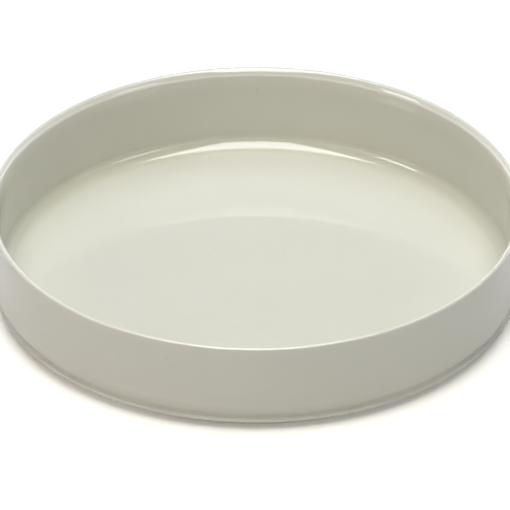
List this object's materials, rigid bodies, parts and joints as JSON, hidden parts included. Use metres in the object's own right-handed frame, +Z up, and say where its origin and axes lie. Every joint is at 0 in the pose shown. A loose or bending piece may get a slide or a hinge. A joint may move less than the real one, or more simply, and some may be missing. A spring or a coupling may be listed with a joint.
{
  "type": "evaporating dish",
  "caption": "Shallow round flat-bottomed porcelain evaporating dish with a low straight wall, soft plain rim, glossy glaze and an inset bare foot ring.",
  "frame": {"origin": "centre of the circle on which the foot ring stands, in the plane of the table", "axes": "+Z up through the open top, along the dish's axis of revolution; X and Y are any two directions across it"},
  "size_m": [0.2, 0.2, 0.037],
  "materials": {
    "bare_porcelain": "unglazed fired porcelain, fine and matt",
    "glaze": "clear glossy glaze over off-white porcelain"
  },
  "bodies": {
    "root": {"porcelain_body": "bare_porcelain", "glaze_coat": "glaze", "underside_glaze": "glaze"}
  },
  "joints": []
}
